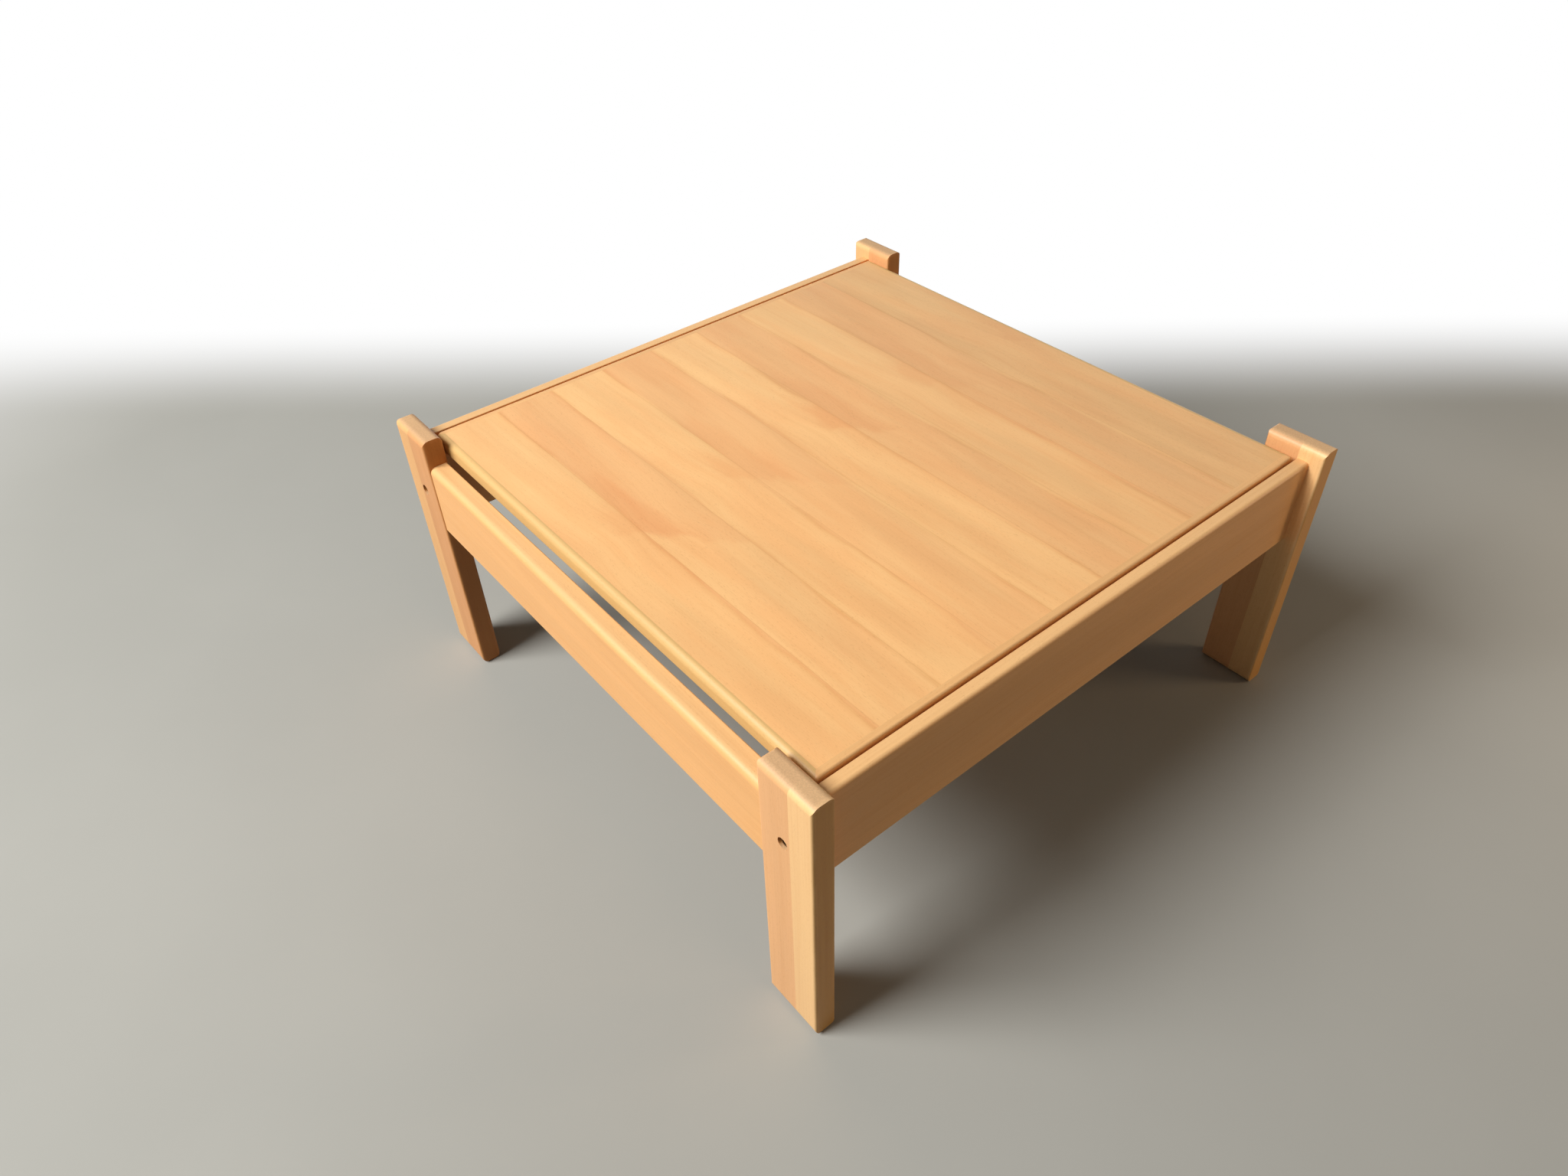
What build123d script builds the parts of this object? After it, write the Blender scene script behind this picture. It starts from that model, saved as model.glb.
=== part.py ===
"""Low square table: four plank legs, two glued rails, two bolted rails and a drop-in top board.

Units are millimetres. The origin is on the floor under the middle of the table. X runs along
the two glued rails, Y along the two bolted rails and Z is up. The front is the -Y side.
"""
from build123d import *
import os

# ---------------------------------------------------------------- driving dimensions

# Overall, measured over the legs.
table_length = 750.0
table_depth = 750.0
table_height = 350.0

# Legs: planks glued up from an outer and an inner stave, wide faces to the front and back.
leg_width = 70.0
leg_thickness = 25.0
outer_stave_share = 3 / 7
leg_top_radius = 8.0
leg_foot_radius = 11.0
leg_arris_radius = 3.0

# Top board: it drops in between the legs and onto the ledges of the bolted rails. Its play
# between their lips isn't shared evenly: it lies nearer the right one.
board_thickness = 20.0
board_below_leg_tops = 14.0
board_to_leg_gap = 5.0
board_to_left_lip_gap = 8.5
board_to_right_lip_gap = 2.0
board_front_radius = 7.0
board_arris_radius = 2.5
lipping_width = 8.0
veneer_thickness = 0.8
leaf_count = 9
front_leaf_width = 78.0
back_leaf_width = 99.0

# Glued rails, along X, between the narrow faces of the legs.
glued_rail_height = 90.0
glued_rail_below_board = 1.0
glued_rail_reveal = 1.5
glued_rail_top_radius = 8.0

# Bolted rails, along Y, centred on the wide faces of the legs and rebated for the board.
bolted_rail_height = 105.0
bolted_rail_thickness = 40.0
lip_thickness = 14.5
lip_below_board_face = 4.0
lip_outer_radius = 4.0
lip_inner_radius = 1.0
rail_arris_radius = 2.0

# Leg bolts: socket cap screws with washers, and barrel nuts in the rails.
bolt_in_from_rail_middle = 4.0
bolt_diameter = 6.0
bolt_length = 60.0
bolt_hole_diameter = 7.0
bolt_tip_room = 3.0
bolt_tip_chamfer = 0.8
bolt_head_diameter = 10.0
bolt_head_height = 6.0
bolt_head_chamfer = 0.6
socket_width = 5.0
socket_depth = 3.0
counterbore_diameter = 13.0
counterbore_depth = 10.0
washer_diameter = 12.0
washer_hole_diameter = 6.6
washer_thickness = 1.6
nut_diameter = 10.0
nut_length = 16.0
nut_from_rail_end = 35.0
nut_hole_clearance = 0.1
nut_thread_clearance = 0.05
nut_slot_width = 1.4
nut_slot_depth = 1.5

# Tenons on the rail ends: long ones that are glued, stub ones with the bolt through them.
glued_tenon_thickness = 12.0
glued_tenon_height = 60.0
glued_tenon_length = 20.0
stub_tenon_thickness = 16.0
stub_tenon_height = 66.0
stub_tenon_length = 8.0
mortise_side_clearance = 0.1
mortise_end_clearance = 0.3

# ---------------------------------------------------------------- places worked out from them

half_length = table_length / 2
half_depth = table_depth / 2

# Heights, from the floor.
board_face_height = table_height - board_below_leg_tops
ledge_height = board_face_height - board_thickness
lip_top_height = board_face_height - lip_below_board_face
bolted_rail_foot = lip_top_height - bolted_rail_height
glued_rail_top = ledge_height - glued_rail_below_board
glued_rail_foot = glued_rail_top - glued_rail_height
bolt_height = (glued_rail_top + glued_rail_foot) / 2

# Distances out from the middle of the table.
leg_inner_face_y = half_depth - leg_thickness
leg_middle_y = half_depth - leg_thickness / 2
leg_inner_face_x = half_length - leg_width
leg_middle_x = half_length - leg_width / 2
stave_seam_x = half_length - leg_width * outer_stave_share
bolted_rail_middle_x = leg_middle_x
bolted_rail_outer_x = bolted_rail_middle_x + bolted_rail_thickness / 2
bolted_rail_inner_x = bolted_rail_middle_x - bolted_rail_thickness / 2
bolt_x = bolted_rail_middle_x - bolt_in_from_rail_middle
lip_inner_x = bolted_rail_outer_x - lip_thickness
board_half_length = lip_inner_x - (board_to_left_lip_gap + board_to_right_lip_gap) / 2
board_middle_x = (board_to_left_lip_gap - board_to_right_lip_gap) / 2
board_half_depth = leg_inner_face_y - board_to_leg_gap
middle_leaves_depth = 2 * board_half_depth - front_leaf_width - back_leaf_width
middle_leaf_width = middle_leaves_depth / (leaf_count - 2)

# Along the bolt, in from the outer wide face of the leg.
bolt_seat_depth = counterbore_depth - washer_thickness
bolt_tip_depth = bolt_seat_depth + bolt_length
bolt_hole_depth = bolt_tip_depth + bolt_tip_room
nut_y = leg_inner_face_y - nut_from_rail_end

glued_rail_thickness = leg_thickness - 2 * glued_rail_reveal

CORNERS = {
    "front_left": (-1, -1),
    "front_right": (1, -1),
    "back_right": (1, 1),
    "back_left": (-1, 1),
}


# ---------------------------------------------------------------- small helpers

def block(x_from, x_to, y_from, y_to, z_from, z_to):
    """A box between two opposite corners, given in any order."""
    middle = ((x_from + x_to) / 2, (y_from + y_to) / 2, (z_from + z_to) / 2)
    size = (abs(x_to - x_from), abs(y_to - y_from), abs(z_to - z_from))
    return Pos(*middle) * Box(*size)


def rod_x(radius, x_from, x_to, y, z):
    """A round bar along X."""
    bar = Cylinder(radius, abs(x_to - x_from))
    return Pos((x_from + x_to) / 2, y, z) * Rot(0, 90, 0) * bar


def rod_y(radius, x, y_from, y_to, z):
    """A round bar along Y."""
    bar = Cylinder(radius, abs(y_to - y_from))
    return Pos(x, (y_from + y_to) / 2, z) * Rot(90, 0, 0) * bar


def bar_along_y(corners, length):
    """A bar along Y, centred on Y = 0, with the given (x, z, radius) corners as its section."""
    outline = Polyline(*[(x, z) for x, z, _ in corners], close=True)
    section = make_face(outline)
    for x, z, radius in corners:
        if radius > 0:
            corner = section.vertices().sort_by_distance((x, z, 0))[0]
            section = fillet(corner, radius)
    return extrude(Plane.XZ * section, length / 2, both=True)


def half_turn(piece):
    """The same piece on the opposite side of the table."""
    return Rot(0, 0, 180) * piece


def end_ring(bar, side_y):
    """The circular edge at one end of a round bar along Y."""
    rings = bar.edges().filter_by(GeomType.CIRCLE).sort_by(Axis.Y)
    return rings[-1] if side_y > 0 else rings[0]


# ---------------------------------------------------------------- legs

def upright_outline(width, top_radius, foot_radius):
    """A tall outline as high as the legs, with rounded corners at its top and its foot."""
    outline = Pos(0, table_height / 2) * Rectangle(width, table_height)
    outline = fillet(outline.vertices().group_by(Axis.Y)[-1], top_radius)
    return fillet(outline.vertices().group_by(Axis.Y)[0], foot_radius)


def leg_blank(side_x, side_y):
    """A plank rounded over in all three directions, standing in its corner of the table."""
    plan = RectangleRounded(leg_width, leg_thickness, leg_arris_radius)
    narrow_side = upright_outline(leg_thickness, leg_top_radius, leg_foot_radius)
    wide_side = upright_outline(leg_width, leg_arris_radius, leg_arris_radius)
    plank = extrude(plan, table_height)
    plank &= extrude(Plane.YZ * narrow_side, leg_width / 2, both=True)
    plank &= extrude(Plane.XZ * wide_side, leg_thickness / 2, both=True)
    return Pos(side_x * leg_middle_x, side_y * leg_middle_y, 0) * plank


def leg_cuttings(side_x, side_y):
    """Everything cut out of a leg: counterbore, bolt hole and the two mortises."""
    outer_y = side_y * half_depth
    inner_y = side_y * leg_inner_face_y
    seat_y = side_y * (half_depth - counterbore_depth)
    return [
        rod_y(counterbore_diameter / 2, side_x * bolt_x, outer_y, seat_y, bolt_height),
        rod_y(bolt_hole_diameter / 2, side_x * bolt_x, outer_y, inner_y, bolt_height),
        glued_tenon(side_x, side_y, mortise_side_clearance, mortise_end_clearance),
        stub_tenon(side_x, side_y, mortise_side_clearance, mortise_end_clearance),
    ]


def leg_staves(side_x, side_y):
    """The outer and the inner stave of one leg, which meet at the glue line."""
    leg = leg_blank(side_x, side_y)
    for cutting in leg_cuttings(side_x, side_y):
        leg -= cutting
    reach_y = (side_y * leg_inner_face_y, side_y * half_depth)
    outer_half = block(side_x * stave_seam_x, side_x * half_length, *reach_y, 0, table_height)
    inner_half = block(side_x * leg_inner_face_x, side_x * stave_seam_x, *reach_y, 0, table_height)
    return leg & outer_half, leg & inner_half


# ---------------------------------------------------------------- rails

def glued_tenon(side_x, side_y, side_room=0.0, end_room=0.0):
    """The tenon of a glued rail in one leg or, with some room added, its mortise."""
    half_thickness = glued_tenon_thickness / 2 + side_room
    half_height = glued_tenon_height / 2 + side_room
    tip_x = leg_inner_face_x + glued_tenon_length + end_room
    return block(
        side_x * leg_inner_face_x, side_x * tip_x,
        side_y * leg_middle_y - half_thickness, side_y * leg_middle_y + half_thickness,
        bolt_height - half_height, bolt_height + half_height,
    )


def stub_tenon(side_x, side_y, side_room=0.0, end_room=0.0):
    """The stub tenon of a bolted rail in one leg or, with some room added, its mortise."""
    half_thickness = stub_tenon_thickness / 2 + side_room
    half_height = stub_tenon_height / 2 + side_room
    tip_y = leg_inner_face_y + stub_tenon_length + end_room
    return block(
        side_x * bolt_x - half_thickness, side_x * bolt_x + half_thickness,
        side_y * leg_inner_face_y, side_y * tip_y,
        bolt_height - half_height, bolt_height + half_height,
    )


def front_glued_rail():
    """The front rail between the narrow faces of the legs, tenoned into them."""
    outer_y = -half_depth + glued_rail_reveal
    inner_y = outer_y + glued_rail_thickness
    rail = block(-leg_inner_face_x, leg_inner_face_x, outer_y, inner_y, glued_rail_foot, glued_rail_top)
    long_edges = rail.edges().filter_by(Axis.X)
    top_edges = long_edges.group_by(Axis.Z)[-1]
    outer_top_edge = top_edges.sort_by(Axis.Y)[0]
    rail = fillet(outer_top_edge, glued_rail_top_radius)
    sharp_places = [
        (0, inner_y, glued_rail_top),
        (0, inner_y, glued_rail_foot),
        (0, outer_y, glued_rail_foot),
    ]
    for place in sharp_places:
        rail = fillet(rail.edges().sort_by_distance(place)[0], rail_arris_radius)
    return rail + glued_tenon(-1, -1) + glued_tenon(1, -1)


def right_bolted_rail():
    """The right rail between the wide faces of the legs, rebated on its inner top edge."""
    rail = bar_along_y(
        [
            (bolted_rail_inner_x, bolted_rail_foot, rail_arris_radius),
            (bolted_rail_outer_x, bolted_rail_foot, rail_arris_radius),
            (bolted_rail_outer_x, lip_top_height, lip_outer_radius),
            (lip_inner_x, lip_top_height, lip_inner_radius),
            (lip_inner_x, ledge_height, 0),
            (bolted_rail_inner_x, ledge_height, rail_arris_radius),
        ],
        2 * leg_inner_face_y,
    )
    rail += stub_tenon(1, -1)
    rail += stub_tenon(1, 1)
    nut_outer_x = bolt_x + nut_length / 2
    nut_hole_radius = nut_diameter / 2 + nut_hole_clearance
    for side_y in (-1, 1):
        tip_y = side_y * (leg_inner_face_y + stub_tenon_length)
        hole_end_y = side_y * (half_depth - bolt_hole_depth)
        rail -= rod_y(bolt_hole_diameter / 2, bolt_x, tip_y, hole_end_y, bolt_height)
        rail -= rod_x(nut_hole_radius, bolted_rail_inner_x, nut_outer_x, side_y * nut_y, bolt_height)
    return rail


# ---------------------------------------------------------------- top board
# Its pieces are made about X = 0 and moved sideways together when the table is put together.

def board_blank():
    """The whole board before it is divided into its layers, rounder along its front and back."""
    blank = block(
        -board_half_length, board_half_length,
        -board_half_depth, board_half_depth,
        ledge_height, board_face_height,
    )
    top_edges = blank.edges().group_by(Axis.Z)[-1]
    blank = fillet(top_edges.filter_by(Axis.X), board_front_radius)
    ends = blank.faces().filter_by(Axis.X)
    bottom = blank.faces().sort_by(Axis.Z)[0]
    arrises = ends.edges() + bottom.edges().filter_by(Axis.X)
    return fillet(arrises, board_arris_radius)


def board_layer(z_from, z_to):
    """A layer of the board inside its lippings."""
    inner_x = board_half_length - lipping_width
    inner_y = board_half_depth - lipping_width
    return block(-inner_x, inner_x, -inner_y, inner_y, z_from, z_to)


def face_leaves():
    """The leaves of the face veneer from front to back, the outer two cut to the lippings."""
    inner_x = board_half_length - lipping_width
    front_y = -board_half_depth + lipping_width
    back_y = board_half_depth - lipping_width
    first_seam = -board_half_depth + front_leaf_width
    inner_seams = [first_seam + number * middle_leaf_width for number in range(leaf_count - 1)]
    seams = [front_y, *inner_seams, back_y]
    under_face = board_face_height - veneer_thickness
    return [
        block(-inner_x, inner_x, seam, following_seam, under_face, board_face_height)
        for seam, following_seam in zip(seams, seams[1:])
    ]


def lippings(blank):
    """The four solid lippings, mitred at the corners, keyed by the side that they are on."""
    far_x, far_y = board_half_length, board_half_depth
    near_x, near_y = far_x - lipping_width, far_y - lipping_width
    outlines = {
        "front": [(-far_x, -far_y), (far_x, -far_y), (near_x, -near_y), (-near_x, -near_y)],
        "right": [(far_x, -far_y), (far_x, far_y), (near_x, near_y), (near_x, -near_y)],
        "back": [(far_x, far_y), (-far_x, far_y), (-near_x, near_y), (near_x, near_y)],
        "left": [(-far_x, far_y), (-far_x, -far_y), (-near_x, -near_y), (-near_x, near_y)],
    }
    pieces = {}
    for side, outline in outlines.items():
        strip = extrude(make_face(Polyline(*outline, close=True)), board_thickness)
        pieces[side] = blank & (Pos(0, 0, ledge_height) * strip)
    return pieces


# ---------------------------------------------------------------- fastenings

def leg_bolt(side_x, side_y):
    """A socket cap screw, its head sunk in the leg and its shank through the barrel nut."""
    x = side_x * bolt_x
    seat_y = side_y * (half_depth - bolt_seat_depth)
    head_y = seat_y + side_y * bolt_head_height
    tip_y = side_y * (half_depth - bolt_tip_depth)
    head = rod_y(bolt_head_diameter / 2, x, seat_y, head_y, bolt_height)
    head = chamfer(end_ring(head, side_y), bolt_head_chamfer)
    socket = extrude(RegularPolygon(socket_width / 2, 6, major_radius=False), socket_depth, both=True)
    head -= Pos(x, head_y, bolt_height) * Rot(90, 0, 0) * socket
    shank = rod_y(bolt_diameter / 2, x, seat_y, tip_y, bolt_height)
    shank = chamfer(end_ring(shank, -side_y), bolt_tip_chamfer)
    return head + shank


def bolt_washer(side_x, side_y):
    """The washer between a bolt head and the floor of its counterbore."""
    x = side_x * bolt_x
    seat_y = side_y * (half_depth - bolt_seat_depth)
    floor_y = side_y * (half_depth - counterbore_depth)
    disc = rod_y(washer_diameter / 2, x, seat_y, floor_y, bolt_height)
    return disc - rod_y(washer_hole_diameter / 2, x, seat_y, floor_y, bolt_height)


def barrel_nut(side_x, side_y):
    """A cross-drilled barrel nut with a driver slot in its inner end."""
    middle_x = side_x * bolt_x
    inner_x = middle_x - side_x * nut_length / 2
    outer_x = middle_x + side_x * nut_length / 2
    y = side_y * nut_y
    nut_radius = nut_diameter / 2
    nut = rod_x(nut_radius, inner_x, outer_x, y, bolt_height)
    thread_radius = bolt_diameter / 2 + nut_thread_clearance
    nut -= rod_y(thread_radius, middle_x, y - nut_radius, y + nut_radius, bolt_height)
    slot_floor_x = inner_x + side_x * nut_slot_depth
    slot_z = (bolt_height - nut_slot_width / 2, bolt_height + nut_slot_width / 2)
    return nut - block(inner_x, slot_floor_x, y - nut_radius, y + nut_radius, *slot_z)


# ---------------------------------------------------------------- assembly

def board_nodes():
    """Every node of the board by name, in its place between the lips of the bolted rails."""
    nodes = {
        "board_core": board_layer(
            ledge_height + veneer_thickness, board_face_height - veneer_thickness
        ),
        "board_backing_veneer": board_layer(ledge_height, ledge_height + veneer_thickness),
    }
    for number, leaf in enumerate(face_leaves(), start=1):
        nodes[f"board_face_leaf_{number:02d}"] = leaf
    for side, lipping in lippings(board_blank()).items():
        nodes[f"board_{side}_lipping"] = lipping
    return {name: Pos(board_middle_x, 0, 0) * piece for name, piece in nodes.items()}


def build_nodes():
    """Every node of the table by name: one solid, or a list of like fastenings."""
    nodes = {}
    for corner, sides in CORNERS.items():
        outer_stave, inner_stave = leg_staves(*sides)
        nodes[f"{corner}_leg_outer_stave"] = outer_stave
        nodes[f"{corner}_leg_inner_stave"] = inner_stave

    nodes["front_glued_rail"] = front_glued_rail()
    nodes["back_glued_rail"] = half_turn(nodes["front_glued_rail"])
    nodes["right_bolted_rail"] = right_bolted_rail()
    nodes["left_bolted_rail"] = half_turn(nodes["right_bolted_rail"])

    nodes.update(board_nodes())

    sides = CORNERS.values()
    nodes["leg_bolts"] = [leg_bolt(*s) for s in sides]
    nodes["bolt_washers"] = [bolt_washer(*s) for s in sides]
    nodes["barrel_nuts"] = [barrel_nut(*s) for s in sides]
    return nodes


def solids_of(piece):
    """The solids of one piece or of a list of pieces."""
    pieces = piece if isinstance(piece, list) else [piece]
    return [solid for each in pieces for solid in each.solids()]


os.makedirs("parts", exist_ok=True)
for name, piece in build_nodes().items():
    solids = solids_of(piece)
    whole = solids[0] if len(solids) == 1 else Compound(children=solids)
    export_step(whole, f"parts/{name}.step")
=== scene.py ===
"""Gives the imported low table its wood, veneer and metal finishes, and sets it on a plain stage.

Lengths are in metres, in the table's own frame: the origin is on the floor under the middle of
the table, X runs along the glued rails, Y along the bolted rails and Z is up.
"""
from collections import namedtuple
from math import radians

import bpy
import numpy as np
from bpy.props import FloatProperty, FloatVectorProperty, PointerProperty
from bpy.types import Operator, Panel, PropertyGroup
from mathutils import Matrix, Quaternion, Vector


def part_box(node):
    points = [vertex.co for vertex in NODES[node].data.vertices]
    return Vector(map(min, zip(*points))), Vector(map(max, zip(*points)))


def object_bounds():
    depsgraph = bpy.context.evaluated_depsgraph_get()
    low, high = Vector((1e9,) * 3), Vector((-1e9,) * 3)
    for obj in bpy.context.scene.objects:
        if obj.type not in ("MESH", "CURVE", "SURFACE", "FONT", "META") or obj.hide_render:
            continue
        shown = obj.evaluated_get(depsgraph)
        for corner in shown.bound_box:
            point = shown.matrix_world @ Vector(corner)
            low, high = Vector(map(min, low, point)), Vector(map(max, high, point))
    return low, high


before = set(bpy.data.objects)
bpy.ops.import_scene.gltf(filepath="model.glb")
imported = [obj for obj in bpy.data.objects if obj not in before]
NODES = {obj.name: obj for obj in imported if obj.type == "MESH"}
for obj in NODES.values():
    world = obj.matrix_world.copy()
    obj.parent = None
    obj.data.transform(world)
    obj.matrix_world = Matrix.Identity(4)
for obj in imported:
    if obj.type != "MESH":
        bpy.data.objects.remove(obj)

bl_info = {
    "name": "Low table finishes",
    "version": (1, 0, 0),
    "blender": (4, 5, 0),
    "location": "3D View > Sidebar > Low table",
    "description": "Wood, veneer and metal finishes for a low table, with a plain stage",
    "category": "Object",
}

CAD_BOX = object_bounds()

CORNERS = ("front_left", "front_right", "back_right", "back_left")
SIDES = ("front", "right", "back", "left")
LEAVES = sorted(name for name in NODES if name.startswith("board_face_leaf_"))

WHITE = (1.0, 1.0, 1.0)

# The axes of a piece in the order along the grain, across its wide face, through its thickness.
UPRIGHT = "ZXY"
ALONG_RAIL_X = "XZY"
ALONG_RAIL_Y = "YZX"
FLAT_X = "XYZ"
FLAT_Y = "YXZ"


def paint(red, green, blue):
    """The scene-linear colour of an sRGB colour given as three numbers from 0 to 255."""
    channels = np.array([red, green, blue]) / 255
    linear = np.where(channels <= 0.04045, channels / 12.92, ((channels + 0.055) / 1.055) ** 2.4)
    return tuple(float(channel) for channel in linear)


def colour_property(name, description, default):
    """A colour that the user can change."""
    return FloatVectorProperty(
        name=name, description=description, default=default, subtype="COLOR", min=0.0, max=1.0
    )


def length_property(name, description, default):
    """A length that the user can change."""
    return FloatProperty(
        name=name, description=description, default=default, unit="LENGTH", min=0.0
    )


def power_property(name, description, default):
    """The power of a lamp that the user can change."""
    return FloatProperty(
        name=name, description=description, default=default, unit="POWER", min=0.0
    )


def share_property(name, description, default):
    """A strength from 0 to 1 that the user can change."""
    return FloatProperty(
        name=name, description=description, default=default, subtype="FACTOR", min=0.0, max=1.0
    )


# ---------------------------------------------------------------- settings

class WoodSettings(PropertyGroup):
    """Colours and figure of the solid wood and the veneers."""

    outer_stave: colour_property(
        "Outer stave", "Colour of the legs' outer staves", paint(255, 205, 143)
    )
    inner_stave: colour_property(
        "Inner stave", "Colour of the legs' inner staves", paint(243, 184, 127)
    )
    rail: colour_property("Rails", "Colour of the rails", paint(247, 186, 120))
    end_lipping: colour_property(
        "Front lippings", "Colour of the board's front and back lippings", paint(220, 179, 116)
    )
    side_lipping: colour_property(
        "Side lippings", "Colour of the board's left and right lippings", paint(240, 186, 124)
    )
    light_leaf: colour_property(
        "Light leaf", "Colour of every other veneer leaf", paint(244, 191, 128)
    )
    dark_leaf: colour_property(
        "Dark leaf", "Colour of the leaves between them", paint(240, 184, 123)
    )
    backing: colour_property("Backing", "Colour of the backing veneer", paint(205, 160, 108))
    chips: colour_property("Core", "Colour of the chips in the core", paint(196, 158, 112))
    ring_spacing: length_property("Ring spacing", "Width of one growth ring", 0.0034)
    ring_strength: share_property("Rings", "How much late wood darkens the figure", 0.14)
    band_strength: share_property("Bands", "How much the streaks darken the wood", 0.3)
    fibre_strength: share_property("Fibres", "How much fine fibres vary the colour", 0.7)
    fleck_strength: share_property("Flecks", "How dark the short flecks are", 0.4)
    line_strength: share_property("Seam lines", "How dark the lines beside the leaf seams are", 0.6)
    warmth_strength: share_property(
        "Warm patches", "How warm the slow patches of the veneer are", 0.8
    )
    wedge_strength: share_property("Wedges", "How red the wedges beside the kink are", 0.62)
    wear_strength: share_property("Wear", "How pale the rubbed arrises are", 0.3)
    leg_depths: FloatVectorProperty(
        name="Leg depths",
        description="How deep the colour of each leg is, anticlockwise from the front left",
        size=4, default=(1.0, 0.0, 0.12, 0.2), min=0.0, max=1.0,
    )
    leaf_shades: FloatVectorProperty(
        name="Leaf shades",
        description="How light each leaf of the face veneer is, from the front",
        size=9, default=(1.03, 1.04, 1.06, 1.06, 1.075, 1.04, 1.03, 0.985, 0.95), min=0.0, max=1.2,
    )
    leaf_wedges: FloatVectorProperty(
        name="Leaf wedges",
        description="How strong the wedge in each leaf is, from the front",
        size=9, default=(0.6, 1.0, 0.6, 0.6, 1.0, 0.8, 0.5, 0.35, 0.4), min=0.0, max=1.0,
    )


class MetalSettings(PropertyGroup):
    """Colours of the fastenings."""

    bronze: colour_property("Bronze", "Colour of the bronzed bolts and washers", paint(112, 84, 52))
    zinc: colour_property("Zinc", "Colour of the zinc plated barrel nuts", paint(190, 190, 186))


class StageSettings(PropertyGroup):
    """Floor, light and camera."""

    floor: colour_property("Floor", "Colour of the floor", paint(168, 167, 160))
    floor_radius: length_property("Floor radius", "Radius of the round floor", 30.0)
    bounce: share_property(
        "Bounce", "How much of its light the floor throws back at the table", 0.5
    )
    white_from: length_property("White from", "Where the floor starts to fade into white", 1.3)
    white_to: length_property("White to", "Where the floor is all white", 2.6)
    behind: FloatVectorProperty(
        name="Behind", description="Direction from the table to where the floor ends sooner",
        default=(-0.753, 0.658), size=2, subtype="XYZ",
    )
    behind_from: length_property("Behind from", "Where the floor behind starts to fade", 0.6)
    behind_to: length_property("Behind to", "Where the floor behind is all white", 0.95)
    fill: colour_property("Fill", "Colour of the even light from all round", (0.083, 0.078, 0.070))
    key_power: power_property("Key", "Power of the large soft lamp", 246.0)
    key_direction: FloatVectorProperty(
        name="Key direction", description="Direction from the table to the large soft lamp",
        default=(-0.22, -0.71, 0.69), subtype="DIRECTION",
    )
    key_distance: length_property(
        "Key distance", "Distance from the table to the large soft lamp", 4.3
    )
    key_size: length_property("Key size", "Side of the large soft lamp", 2.1)
    side_colour: colour_property(
        "Side colour", "Colour of the weak lamp at the right", (1.0, 0.70, 0.42)
    )
    side_power: power_property("Side", "Power of the weak lamp at the right", 4.7)
    side_direction: FloatVectorProperty(
        name="Side direction", description="Direction from the table to the weak lamp at the right",
        default=(0.70, 0.69, 0.20), subtype="DIRECTION",
    )
    side_distance: length_property(
        "Side distance", "Distance from the table to the weak lamp", 1.8
    )
    side_size: length_property("Side size", "Side of the weak lamp at the right", 0.4)
    camera_place: FloatVectorProperty(
        name="Camera", description="Where the camera stands",
        default=(0.7818, -0.7111, 1.0353), subtype="XYZ", unit="LENGTH",
    )
    camera_aim: FloatVectorProperty(
        name="Aim", description="The point on the board's face that the camera points at",
        default=(0.1454, -0.2142, 0.336), subtype="XYZ", unit="LENGTH",
    )
    camera_roll: FloatProperty(
        name="Roll", description="How far the camera leans", default=radians(-2.2), subtype="ANGLE"
    )
    camera_lens: FloatProperty(
        name="Lens", description="Focal length in millimetres on a 36 mm wide sensor", default=25.43
    )


# ---------------------------------------------------------------- material building

# The sockets of a Mix node that mixes colours: its inputs, and its output.
MIX_FACTOR = 0
MIX_FIRST = 6
MIX_SECOND = 7
MIX_COLOUR = 2

# How far the cells of a noise are shifted along X, Y and Z for each whole step of its seed.
SEED_SHIFT = (1.0, 1.7, 2.3)


class Value:
    """What comes out of a node: a number, vector, colour or surface. Arithmetic adds Math nodes."""

    def __init__(self, nodes, socket):
        self.nodes = nodes
        self.socket = socket

    def math(self, operation, *operands):
        """A Math node on these operands."""
        settings = {"operation": operation}
        return self.nodes.value("ShaderNodeMath", settings, dict(enumerate(operands)))

    def __add__(self, other):
        return self.math("ADD", self, other)

    __radd__ = __add__

    def __sub__(self, other):
        return self.math("SUBTRACT", self, other)

    def __rsub__(self, other):
        return self.math("SUBTRACT", other, self)

    def __mul__(self, other):
        return self.math("MULTIPLY", self, other)

    __rmul__ = __mul__

    def __truediv__(self, other):
        return self.math("DIVIDE", self, other)

    def __rtruediv__(self, other):
        return self.math("DIVIDE", other, self)

    def __pow__(self, other):
        return self.math("POWER", self, other)

    def __neg__(self):
        return self.math("MULTIPLY", self, -1.0)

    def __abs__(self):
        return self.math("ABSOLUTE", self)

    def least(self, other):
        """The smaller of two values."""
        return self.math("MINIMUM", self, other)

    def most(self, other):
        """The larger of two values."""
        return self.math("MAXIMUM", self, other)

    def hump(self, width):
        """The bell curve of this value: 1 where it is 0, fading within about the given width."""
        return self.math("EXPONENT", -((self / width) ** 2.0))

    def rise(self, start, end):
        """A smooth step from 0 where this value is start to 1 where it is end."""
        settings = {"interpolation_type": "SMOOTHSTEP"}
        return self.nodes.value(
            "ShaderNodeMapRange", settings, {"Value": self, "From Min": start, "From Max": end}
        )


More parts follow.
